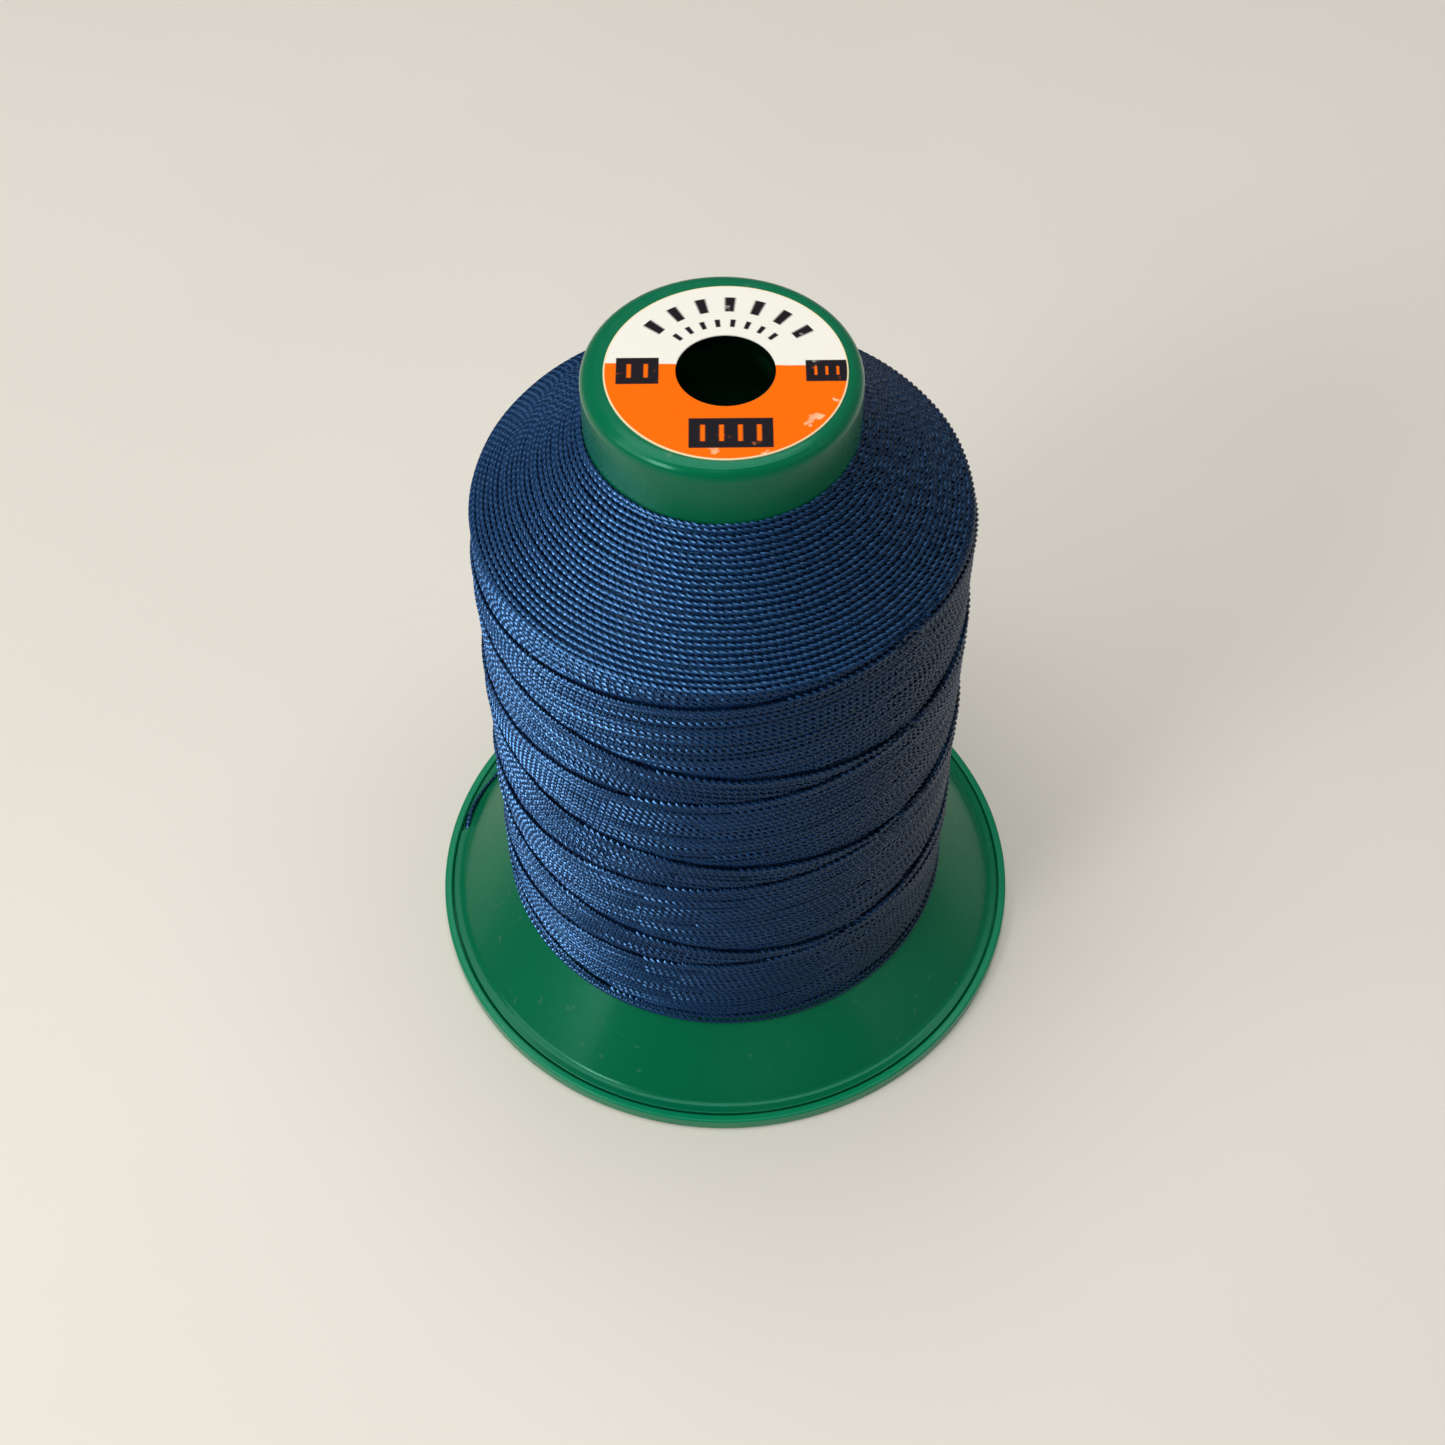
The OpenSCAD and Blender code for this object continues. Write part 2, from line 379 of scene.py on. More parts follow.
def makeFibreGroup():
    # filaments running along each ply, with painted shade darkening the groove between plies
    group, takes, gives = newGroup("twistedFilament", [
        ("Colour", "NodeSocketColor", (0.02, 0.05, 0.16, 1)),
        ("Groove Shade Colour", "NodeSocketColor", (0.004, 0.008, 0.03, 1)),
        ("Filaments", "NodeSocketFloat", 22.0),
        ("Shade Spread", "NodeSocketFloat", 0.25),
    ], [("Colour", "NodeSocketColor"), ("Height", "NodeSocketFloat"),
        ("Groove", "NodeSocketFloat")])
    lay = node(group, "UVMap", uv_map="alongStrand")
    split = node(group, "SeparateXYZ")
    join(group, lay.outputs[0], split.inputs[0])
    stretch = node(group, "CombineXYZ")
    join(group, sums(group, "MULTIPLY", split.outputs[0], 0.9), stretch.inputs[0])
    join(group, sums(group, "MULTIPLY", split.outputs[1], takes.outputs["Filaments"]),
         stretch.inputs[1])
    shade = node(group, "Attribute", attribute_name="strandShade")
    join(group, sums(group, "MULTIPLY", shade.outputs["Fac"], 37), stretch.inputs[2])
    hairs = node(group, "TexNoise")
    hairs.inputs["Scale"].default_value = 1.0
    hairs.inputs["Detail"].default_value = 2
    join(group, stretch.outputs[0], hairs.inputs["Vector"])
    ply = sums(group, "FRACT", split.outputs[1])
    off = sums(group, "ABSOLUTE", sums(group, "SUBTRACT", ply, 0.5))
    groove = between(group, off, 0.26, 0.45)
    lift = sums(group, "MULTIPLY_ADD", hairs.outputs["Fac"], 0.7, 0.65)
    spread = sums(group, "MULTIPLY", sums(group, "SUBTRACT", shade.outputs["Fac"], 0.5),
                  takes.outputs["Shade Spread"])
    lift = sums(group, "ADD", lift, spread)
    bright = mixColour(group, 1.0, takes.outputs["Colour"], lift, "MULTIPLY")
    # painted shade: the groove between plies is darkened towards the groove's dark colour
    done = mixColour(group, sums(group, "MULTIPLY", groove, 0.92), bright,
                     takes.outputs["Groove Shade Colour"])
    join(group, done, gives.inputs["Colour"])
    join(group, hairs.outputs["Fac"], gives.inputs["Height"])
    join(group, groove, gives.inputs["Groove"])
    return group


def makeSkinGroup():
    # moulded surface: slow tone changes, flow marks round the axis, fine scratches
    group, takes, gives = newGroup("mouldedSkin", [
        ("Colour", "NodeSocketColor", (0.01, 0.16, 0.08, 1)),
        ("Tone Spread", "NodeSocketFloat", 0.12),
        ("Gloss", "NodeSocketFloat", 0.22),
        ("Scratches", "NodeSocketFloat", 0.3),
    ], [("Colour", "NodeSocketColor"), ("Roughness", "NodeSocketFloat"),
        ("Height", "NodeSocketFloat")])
    place = node(group, "TexCoord")
    tone = node(group, "TexNoise")
    tone.inputs["Scale"].default_value = 45
    tone.inputs["Detail"].default_value = 3
    join(group, place.outputs["Object"], tone.inputs["Vector"])
    lift = sums(group, "MULTIPLY_ADD", sums(group, "SUBTRACT", tone.outputs["Fac"], 0.5),
                takes.outputs["Tone Spread"], 1.0)
    colour = mixColour(group, 1.0, takes.outputs["Colour"], lift, "MULTIPLY")
    split = node(group, "SeparateXYZ")
    join(group, place.outputs["Object"], split.inputs[0])
    angle = sums(group, "ARCTAN2", split.outputs[1], split.outputs[0])
    flat = node(group, "CombineXYZ")
    join(group, split.outputs[0], flat.inputs[0])
    join(group, split.outputs[1], flat.inputs[1])
    length = node(group, "VectorMath", operation="LENGTH")
    join(group, flat.outputs[0], length.inputs[0])
    rings = node(group, "CombineXYZ")
    join(group, sums(group, "MULTIPLY", angle, 2.2), rings.inputs[0])
    join(group, sums(group, "MULTIPLY", length.outputs["Value"], 2600), rings.inputs[1])
    join(group, sums(group, "MULTIPLY", split.outputs[2], 2600), rings.inputs[2])
    scratch = node(group, "TexNoise")
    scratch.inputs["Scale"].default_value = 1.0
    scratch.inputs["Detail"].default_value = 3
    join(group, rings.outputs[0], scratch.inputs["Vector"])
    lines = between(group, scratch.outputs["Fac"], 0.62, 0.72)
    rough = sums(group, "MULTIPLY_ADD", sums(group, "SUBTRACT", tone.outputs["Fac"], 0.5), 0.14,
                 takes.outputs["Gloss"])
    rough = sums(group, "MULTIPLY_ADD", sums(group, "MULTIPLY", lines, takes.outputs["Scratches"]),
                 0.35, rough, clamp=True)
    fine = node(group, "TexNoise")
    fine.inputs["Scale"].default_value = 260
    fine.inputs["Detail"].default_value = 2
    join(group, place.outputs["Object"], fine.inputs["Vector"])
    height = sums(group, "MULTIPLY_ADD", fine.outputs["Fac"], 0.6,
                  sums(group, "MULTIPLY", lines, sums(group, "MULTIPLY",
                                                      takes.outputs["Scratches"], -0.6)))
    join(group, colour, gives.inputs["Colour"])
    join(group, rough, gives.inputs["Roughness"])
    join(group, height, gives.inputs["Height"])
    return group


def makeEdgeGroup():
    # sharp outer edges rubbed paler and duller by handling
    group, takes, gives = newGroup("rubbedEdge", [
        ("Amount", "NodeSocketFloat", 0.5), ("Reach", "NodeSocketFloat", 0.5),
    ], [("Mask", "NodeSocketFloat")])
    shape = node(group, "NewGeometry")
    place = node(group, "TexCoord")
    worn = node(group, "TexNoise")
    worn.inputs["Scale"].default_value = 120
    worn.inputs["Detail"].default_value = 4
    join(group, place.outputs["Object"], worn.inputs["Vector"])
    sharp = between(group, shape.outputs["Pointiness"], 0.515,
                    sums(group, "MULTIPLY_ADD", takes.outputs["Reach"], 0.12, 0.52))
    patches = between(group, worn.outputs["Fac"], 0.40, 0.62)
    mask = sums(group, "MULTIPLY", sums(group, "MULTIPLY", sharp, patches),
                takes.outputs["Amount"], clamp=True)
    join(group, mask, gives.inputs["Mask"])
    return group


def makeDustGroup():
    # pale specks and film on faces that look up
    group, takes, gives = newGroup("settledDust", [
        ("Amount", "NodeSocketFloat", 0.15), ("Specks", "NodeSocketFloat", 900.0),
    ], [("Mask", "NodeSocketFloat")])
    shape = node(group, "NewGeometry")
    split = node(group, "SeparateXYZ")
    join(group, shape.outputs["Normal"], split.inputs[0])
    up = between(group, split.outputs[2], 0.2, 0.9)
    place = node(group, "TexCoord")
    specks = node(group, "TexNoise")
    specks.inputs["Detail"].default_value = 1
    join(group, takes.outputs["Specks"], specks.inputs["Scale"])
    join(group, place.outputs["Object"], specks.inputs["Vector"])
    dots = between(group, specks.outputs["Fac"], 0.70, 0.78)
    film = node(group, "TexNoise")
    film.inputs["Scale"].default_value = 30
    film.inputs["Detail"].default_value = 5
    join(group, place.outputs["Object"], film.inputs["Vector"])
    soft = sums(group, "MULTIPLY", between(group, film.outputs["Fac"], 0.4, 0.8), 0.25)
    both = sums(group, "MAXIMUM", dots, soft)
    mask = sums(group, "MULTIPLY", sums(group, "MULTIPLY", both, up), takes.outputs["Amount"],
                clamp=True)
    join(group, mask, gives.inputs["Mask"])
    return group


def makeBoreShadeGroup():
    # mask for painted shade inside a hole about the object's upright axis, its radius in mm
    group, takes, gives = newGroup("paintedBoreShade", [
        ("Radius", "NodeSocketFloat", 6.0), ("Fade", "NodeSocketFloat", 0.3),
    ], [("Mask", "NodeSocketFloat")])
    place = node(group, "TexCoord")
    axis = node(group, "VectorMath", operation="MULTIPLY")
    axis.inputs[1].default_value = (1000, 1000, 0)
    join(group, place.outputs["Object"], axis.inputs[0])
    length = node(group, "VectorMath", operation="LENGTH")
    join(group, axis.outputs[0], length.inputs[0])
    inner = sums(group, "SUBTRACT", takes.outputs["Radius"], takes.outputs["Fade"])
    join(group, between(group, length.outputs["Value"], takes.outputs["Radius"], inner),
         gives.inputs["Mask"])
    return group


twistedFilament = makeFibreGroup()
mouldedSkin = makeSkinGroup()
rubbedEdge = makeEdgeGroup()
settledDust = makeDustGroup()
paintedBoreShade = makeBoreShadeGroup()
print("shader groups built")


# Thread finish

threadFinish = {
    # the second colour is painted shade, laid into the grooves between plies
    "navy": (0.001, 0.007, 0.030), "groove": (0.0, 0.0005, 0.002),
    "filaments": 22, "shadeSpread": 0.25, "roughness": 0.26, "ior": 1.9,
    "specularTint": (0.12, 0.41, 0.92), "fibreBump": 0.00004, "corePaintedShade": 0.35,
    "bumpStrength": 0.5, "coat": 0.09, "coatRoughness": 0.22,
}


# the last argument darkens the navy as painted shade, for the core and the thread end
def threadMaterial(name, t, paintedShade=1.0):
    mat, tree = newTree(name)
    out = node(tree, "OutputMaterial", 500)
    skin = node(tree, "BsdfPrincipled", 200)
    fibre = useGroup(tree, twistedFilament, **{
        "Colour": tuple(c * paintedShade for c in t["navy"]), "Groove Shade Colour": t["groove"],
        "Filaments": float(t["filaments"]), "Shade Spread": t["shadeSpread"]})
    join(tree, fibre.outputs["Colour"], skin.inputs["Base Color"])
    rough = sums(tree, "MULTIPLY_ADD", fibre.outputs["Height"], 0.2, t["roughness"] - 0.1)
    join(tree, sums(tree, "MULTIPLY_ADD", fibre.outputs["Groove"], 0.25, rough, clamp=True),
         skin.inputs["Roughness"])
    bump = node(tree, "Bump")
    bump.inputs["Strength"].default_value = t["bumpStrength"]
    bump.inputs["Distance"].default_value = t["fibreBump"]
    join(tree, fibre.outputs["Height"], bump.inputs["Height"])
    join(tree, bump.outputs[0], skin.inputs["Normal"])
    skin.inputs["IOR"].default_value = t["ior"]
    skin.inputs["Specular Tint"].default_value = (*t["specularTint"], 1)
    skin.inputs["Coat Weight"].default_value = t["coat"]
    skin.inputs["Coat Roughness"].default_value = t["coatRoughness"]
    join(tree, skin.outputs[0], out.inputs[0])
    return mat


def rideAsThread(piece, material):
    piece.data.materials.append(material)
    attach(piece, "spool")
    threadLit.objects.link(piece)
    return piece


navyThread = threadMaterial("navyThread", threadFinish)
# painted shade: the whole thread end is coloured darker than the package's thread
rideAsThread(threadEnd, threadMaterial("navyThreadEnd", threadFinish, tail["paintedShade"]))
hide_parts("thread_tail")


# Winding: two families of rows, one climbing and one falling, over a plain core.
# Each family grows upwards, so the rows just under its edge are the newest and stand proud.

winding = {
    "footRadius": 27.86, "footHeight": 9.66, "sideRadius": 27.19, "sideTop": 75.3,
    "swell": 0.22, "topRadius": 14.75, "topHeight": 86.8, "shoulderSag": 0.46,
    "pitch": 16.5, "row": 0.8, "climbEdge": 23.4, "fallEdge": 27.7, "meetAt": 46,
    "strandWide": 0.40, "strandHigh": 0.35, "lead": 2.5, "ringsPerLead": 6,
    "edgeLift": 0.15, "dive": 0.42, "diveOver": 1.0, "tuckPast": 0.5, "fallDip": 1.4,
    "turnRow": 0.67, "shoulderRings": 8, "wander": 0.035, "meander": 0.45, "seed": 31,
    "footMargin": 0.8,     # height above the foot where the crossed rows start
    "layerSlope": 0.36,    # how much deeper a family's oldest row lies than its newest
    "meetShift": 0.3,      # how far past the meeting line the upper family runs on
    "downSide": 9.0,       # how far the shoulder's rows run on down the side
    # height above the foot, how far proud, shade, twist at the start
    "turnedRows": [(0.52, 0.30, 0.9, 0), (1.30, 0.12, 0.4, 1.1)],
    "coreInset": 0.3, "coreSides": 160,
}


def smooth(x):
    x = np.clip(x, 0, 1)
    return x * x * (3 - 2 * x)


def sideSurface(w, z):
    share = np.clip((z - w["footHeight"]) / (w["sideTop"] - w["footHeight"]), 0, 1)
    return (w["footRadius"] + (w["sideRadius"] - w["footRadius"]) * share
            + w["swell"] * np.sin(np.pi * share))


def below(edge, z, pitch):
    # how far z lies below the nearest edge above it
    return np.mod(edge - z, pitch)


def topOfRows(w, angle):
    # upper limit of the crossed rows: the highest edges of the two families
    turn = np.mod(angle - w["meetAt"], 360)
    high = w["climbEdge"] + 3 * w["pitch"] + w["pitch"] * w["meetAt"] / 360
    return high - w["pitch"] * np.minimum(turn, 360 - turn) / 360


def wobble(rng, along, size):
    total = np.zeros_like(along)
    for length in (9.0, 23.0, 61.0):
        total += np.sin(along * 2 * np.pi / (length * rng.uniform(0.8, 1.25))
                        + rng.uniform(0, 2 * np.pi))
    return total * size / 2


def fallDip(w, z):
    # the falling rows sit lower near the foot
    return w["fallDip"] * (1 - smooth((z - 24) / 18))


def meander(w, z):
    return w["meander"] * (np.sin(z * 1.31) + 0.7 * np.sin(z * 3.4 + 1) + 0.5 * np.sin(z * 0.47))


def layFamily(w, climbing, lays, rng):
    turnLength = 2 * math.pi * w["sideRadius"]
    sign = 1 if climbing else -1
    own, other = (w["climbEdge"], w["fallEdge"]) if climbing else (w["fallEdge"], w["climbEdge"])
    stepTurn = 360 * w["lead"] / w["ringsPerLead"] / turnLength
    low, high = w["footHeight"] + w["footMargin"], w["sideTop"] + 1
    rows = int(round(w["pitch"] / w["row"]))
    middle = (w["footHeight"] + w["sideTop"]) / 2
    for n in range(rows):
        depth = n * w["pitch"] / rows
        start = own - depth
        # unrolled angle over which the row climbs from foot to shoulder
        turns = sorted(360 * sign * (z - start) / w["pitch"] for z in (low - 1, high + 2))
        angle = np.arange(turns[0], turns[1], stepTurn)
        z = start + sign * w["pitch"] * angle / 360
        along = angle / 360 * turnLength
        if climbing:
            level = z + fallDip(w, z)
        else:
            z = z - fallDip(w, z)
            level = z
        otherDepth = below(other - sign * w["pitch"] * angle / 360, level, w["pitch"])
        ceiling = topOfRows(w, angle)
        # how far before the line where the families meet, which wanders a little
        crossing = otherDepth - depth + sign * meander(w, z)
        tucked = (crossing < 0) & (otherDepth < w["tuckPast"])
        past = np.where(tucked, 0, w["pitch"] - otherDepth)  # above the other family's edge
        meet = sign * w["meetShift"]                 # the falling rows lie on top where both meet
        keep = ((crossing > meet - 0.7) | tucked) & (z < ceiling + w["tuckPast"])
        keep &= (z > low) & (z < high)
        cover = 1 - smooth(past / w["diveOver"])
        cover = np.where(tucked, 1, np.maximum(cover, 1 - smooth((crossing - meet + 0.5) / 0.5)))
        cover = np.maximum(cover, 1 - smooth((z - low) / 1.2))
        proud = w["edgeLift"] if n == 0 else 0
        lift = w["layerSlope"] * (0.5 - depth / w["pitch"]) + proud
        r = (sideSurface(w, z) - w["strandHigh"] + lift - w["dive"] * cover
             + wobble(rng, along, w["wander"]))
        z = z + wobble(rng, along, w["wander"])
        turn = np.radians(angle - 90)
        path = np.stack([r * np.cos(turn), r * np.sin(turn), z], axis=1)
        out = np.stack([np.cos(turn), np.sin(turn), np.zeros_like(turn)], axis=1)
        shade = rng.uniform(0, 1)
        phase = rng.uniform(0, 2 * np.pi)
        for lay, part in ((lays[0], z < middle), (lays[1], z >= middle - 0.1)):
            layStrand(lay, path, out, keep & part, w["lead"], w["strandWide"], w["strandHigh"],
                      shade, phase)


def shoulderProfile(w):
    # from the collar down the shoulder and on down the side, corner eased, even steps
    rows = []
    for s in np.linspace(0, 1, 80):
        sag = w["shoulderSag"] * math.sin(math.pi * s)
        rows.append((w["topRadius"] + (w["sideRadius"] - w["topRadius"]) * s - sag * 0.68,
                     w["topHeight"] + (w["sideTop"] - w["topHeight"]) * s - sag * 0.73))
    for z in np.linspace(w["sideTop"] - 0.2, w["sideTop"] - 12, 60):
        rows.append((float(sideSurface(w, z)), z))
    rows = np.array(rows)
    along = np.concatenate([[0], np.cumsum(np.linalg.norm(np.diff(rows, axis=0), axis=1))])
    even = np.arange(0, along[-1], 0.05)
    r, z = np.interp(even, along, rows[:, 0]), np.interp(even, along, rows[:, 1])
    window = np.hanning(31)
    window /= window.sum()
    padded = [np.pad(v, 15, mode="reflect", reflect_type="odd") for v in (r, z)]
    r, z = (np.convolve(v, window, mode="valid") for v in padded)
    return even, r, z


def layShoulder(w, lay, rng):
    even, r, z = shoulderProfile(w)
    dr, dz = np.gradient(r, even), np.gradient(z, even)
    # one spiral, level rows, closer together on the shoulder than on the side
    slope = math.hypot(w["sideRadius"] - w["topRadius"], w["sideTop"] - w["topHeight"])
    slopeTurns = slope / w["turnRow"]

    def reached(turns):
        # the first turn lies level against the collar
        turns = np.maximum(turns - 1, 0)
        return 0.1 + np.where(turns < slopeTurns, turns * w["turnRow"],
                              slope + (turns - slopeTurns) * w["row"])

    angle = [0.0]
    while angle[-1] < slopeTurns + w["downSide"] / w["row"]:
        radius = float(np.interp(reached(angle[-1]), even, r))
        angle.append(angle[-1] + w["lead"] / w["shoulderRings"] / (2 * math.pi * radius))
    angle = np.array(angle)
    where = reached(angle)
    meanRadius = 22
    along = angle * 2 * math.pi * meanRadius
    where = where + wobble(rng, along, w["wander"] * 1.5)
    pr, pz = np.interp(where, even, r), np.interp(where, even, z)
    nr, nz = -np.interp(where, even, dz), np.interp(where, even, dr)
    size = np.hypot(nr, nz)
    nr, nz = nr / size, nz / size
    turn = angle * 2 * np.pi
    ceiling = topOfRows(w, np.degrees(turn) + 90)
    keep = pz > ceiling - w["tuckPast"]
    cover = 1 - smooth((pz - ceiling) / w["diveOver"])
    depth = w["strandHigh"] + w["dive"] * cover - wobble(rng, along, w["wander"])
    pr, pz = pr - nr * depth, pz - nz * depth
    path = np.stack([pr * np.cos(turn), pr * np.sin(turn), pz], axis=1)
    out = np.stack([nr * np.cos(turn), nr * np.sin(turn), nz], axis=1)
    narrow = np.where(angle < slopeTurns, w["turnRow"] / 2, w["row"] / 2)
    layStrand(lay, path, out, keep, w["lead"], narrow, w["strandHigh"], 0.5)


def layFoot(w, lay, rng):
    # the rows that turn back at the package's foot
    count = int(2 * math.pi * w["footRadius"] / (w["lead"] / w["ringsPerLead"])) + 1
    turn = np.linspace(0, 2 * np.pi, count)
    along = turn * w["footRadius"]
    fade = np.minimum(smooth(along / 8), smooth((along[-1] - along) / 8))
    for height, lift, shade, phase in w["turnedRows"]:
        z = w["footHeight"] + height + wobble(rng, along, 0.03) * fade
        r = sideSurface(w, z) - w["strandHigh"] + lift
        path = np.stack([r * np.cos(turn), r * np.sin(turn), z], axis=1)
        out = np.stack([np.cos(turn), np.sin(turn), np.full_like(turn, -0.15)], axis=1)
        layStrand(lay, path, out, np.ones(count, bool), w["lead"], w["strandWide"],
                  w["strandHigh"], shade, phase)


def makeCore(w):
    # what shows between rows: the older layers below, as a turned form
    even, r, z = shoulderProfile(w)
    inset = w["strandHigh"] + w["coreInset"]
    dr, dz = np.gradient(r, even), np.gradient(z, even)
    pr, pz = r + dz * inset, z - dr * inset
    pick = np.arange(0, len(even), 12)
    top = list(zip(pr[pick], pz[pick]))
    side = [(float(sideSurface(w, h)) - inset, h) for h in np.arange(62, 10.2, -1.0)]
    profile = [(14.2, 86.4)] + [p for p in top if p[1] > 62.5] + side + [(26.9, 10.75)]
    profile = np.array(profile)
    count = w["coreSides"]
    turn = np.linspace(0, 2 * np.pi, count, endpoint=False)
    points = np.stack([profile[:, :1] * np.cos(turn), profile[:, :1] * np.sin(turn),
                       np.repeat(profile[:, 1:], count, axis=1)], axis=-1).reshape(-1, 3)
    faces = []
    for a in range(len(profile) - 1):
        for b in range(count):
            c = (b + 1) % count
            faces.append((a * count + b, (a + 1) * count + b, (a + 1) * count + c, a * count + c))
    faces = np.array(faces)
    lay = newLay()
    lay["points"].append(points)
    lay["faces"].append(faces)
    ring = np.arange(len(faces))
    u0 = (ring % count) * 2 * np.pi * 27 / count
    v0 = (ring // count) * 1.25
    u1, v1 = u0 + 2 * np.pi * 27 / count, v0 + 1.25
    lay["uvs"].append(np.stack([np.stack([u0, v0], -1), np.stack([u0, v1], -1),
                                np.stack([u1, v1], -1), np.stack([u1, v0], -1)], 1).reshape(-1, 2))
    lay["shades"].append(np.full(len(faces), 0.4))
    lay["count"] = len(points)
    return meshFrom(lay, "windingCore")


def makeWinding(w):
    rng = np.random.default_rng(w["seed"])
    made = []
    for climbing, word in ((True, "climbing"), (False, "falling")):
        lays = [newLay(), newLay()]
        layFamily(w, climbing, lays, rng)
        made += [meshFrom(lays[0], word + "RowsLow"), meshFrom(lays[1], word + "RowsHigh")]
        print(word, "rows laid,", sum(len(m.data.polygons) for m in made[-2:]), "faces")
    lay = newLay()
    layShoulder(w, lay, rng)
    made.append(meshFrom(lay, "shoulderRows"))
    print("shoulder rows laid,", len(made[-1].data.polygons), "faces")
    lay = newLay()
    layFoot(w, lay, rng)
    made.append(meshFrom(lay, "footRows"))
    for piece in made:
        rideAsThread(piece, navyThread)
    core = makeCore(w)
    # painted shade: the core, seen only in the gaps between rows, takes the thread's colour
    # darkened
    rideAsThread(core, threadMaterial("navyCore", threadFinish, threadFinish["corePaintedShade"]))
    for piece in made + [core]:
        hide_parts("thread_package")


makeWinding(winding)
print("package wound")


# Green plastics

moulded = {
    "ior": 1.49, "specular": 0.3, "bumpStrength": 0.35, "specks": 900.0,
    "dustColour": (0.6, 0.62, 0.58),
}
bodyFinish = {
    "green": (0.0, 0.130, 0.055), "paler": (0.04, 0.22, 0.12), "toneSpread": 0.16,
    "gloss": 0.24, "scratches": 0.15, "edge": 0.2, "reach": 0.5, "dust": 0.05,
    "coat": 0.20, "coatRoughness": 0.16, "shine": (0.08, 1.0, 0.72), "bump": 0.00005,
    # the last two entries are painted shade, nearly black, in and just round the spindle hole
    "boreRadius": 6.1, "bore": (0.0, 0.006, 0.003),
}
capFinish = {
    "green": (0.001, 0.205, 0.090), "paler": (0.05, 0.27, 0.15), "toneSpread": 0.14,
    "gloss": 0.26, "scratches": 0.3, "edge": 0.3, "reach": 0.4, "dust": 0.06,
    "coat": 0.16, "coatRoughness": 0.14, "shine": (0.20, 1.0, 0.75), "bump": 0.00006,
    # the last two entries are painted shade, nearly black, in and just round the spindle hole
    "boreRadius": 6.1, "bore": (0.0, 0.006, 0.003),
}


def plasticMaterial(name, f):
    mat, tree = newTree(name)
    out = node(tree, "OutputMaterial", 600)
    skin = node(tree, "BsdfPrincipled", 300)
    base = useGroup(tree, mouldedSkin, **{"Colour": f["green"], "Tone Spread": f["toneSpread"],
                                          "Gloss": f["gloss"], "Scratches": f["scratches"]})
    edge = useGroup(tree, rubbedEdge, Amount=f["edge"], Reach=f["reach"])
    dust = useGroup(tree, settledDust, Amount=f["dust"], Specks=moulded["specks"])
    worn = mixColour(tree, edge.outputs["Mask"], base.outputs["Colour"], f["paler"])
    dusty = mixColour(tree, dust.outputs["Mask"], worn, moulded["dustColour"])
    # painted shade: the spindle hole's inside and the plastic just round it are coloured nearly
    # black
    hole = useGroup(tree, paintedBoreShade, Radius=f["boreRadius"], Fade=0.3)
    join(tree, mixColour(tree, hole.outputs["Mask"], dusty, f["bore"]), skin.inputs["Base Color"])
    rough = sums(tree, "MULTIPLY_ADD", edge.outputs["Mask"], 0.25, base.outputs["Roughness"])
    join(tree, sums(tree, "MULTIPLY_ADD", dust.outputs["Mask"], 0.5, rough, clamp=True),
         skin.inputs["Roughness"])
    bump = node(tree, "Bump")
    bump.inputs["Strength"].default_value = moulded["bumpStrength"]
    bump.inputs["Distance"].default_value = f["bump"]
    join(tree, base.outputs["Height"], bump.inputs["Height"])
    join(tree, bump.outputs[0], skin.inputs["Normal"])
    skin.inputs["IOR"].default_value = moulded["ior"]
    skin.inputs["Specular IOR Level"].default_value = moulded["specular"]
    skin.inputs["Specular Tint"].default_value = (*f["shine"], 1)
    skin.inputs["Coat Weight"].default_value = f["coat"]
    skin.inputs["Coat Roughness"].default_value = f["coatRoughness"]
    join(tree, skin.outputs[0], out.inputs[0])
    return mat


def finishNode(name, material):
    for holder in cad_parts[name].material_slots:
        holder.material = material


finishNode("spool_body", plasticMaterial("greenBody", bodyFinish))
finishNode("base_cap", plasticMaterial("greenCap", capFinish))
print("plastics finished")


# Label: a thin card ring on the collar, printed in two halves with plain marks

label = {
    "radius": 12.3, "hole": 5.03, "shiftX": 0.4, "shiftY": -0.48, "splitTilt": -0.027,
    "low": 94.0, "high": 94.15, "bevel": 0.05,
    "splitAt": 0.75, "white": (0.80, 0.785, 0.72), "orange": (0.93, 0.145, 0.0),
    "ink": (0.012, 0.010, 0.014), "edge": (0.84, 0.70, 0.44),
    # left, right, near, far, bars
    "boxes": [(-11.0, -6.7, -1.9, 1.8, 2), (8.0, 12.2, -1.7, 1.3, 3), (-3.7, 4.6, -10.7, -6.7, 4)],
    # radius, half height, from angle, to angle, marks, share inked
    "arcs": [(9.5, 1.05, 26, 148, 7, 0.36), (6.75, 0.55, 38, 142, 8, 0.34)],
    "roughness": 0.34, "specular": 0.07, "bumpStrength": 0.25, "bump": 0.00004,
    "sides": 144, "margin": 0.45,  # black border round the bars of each box
}


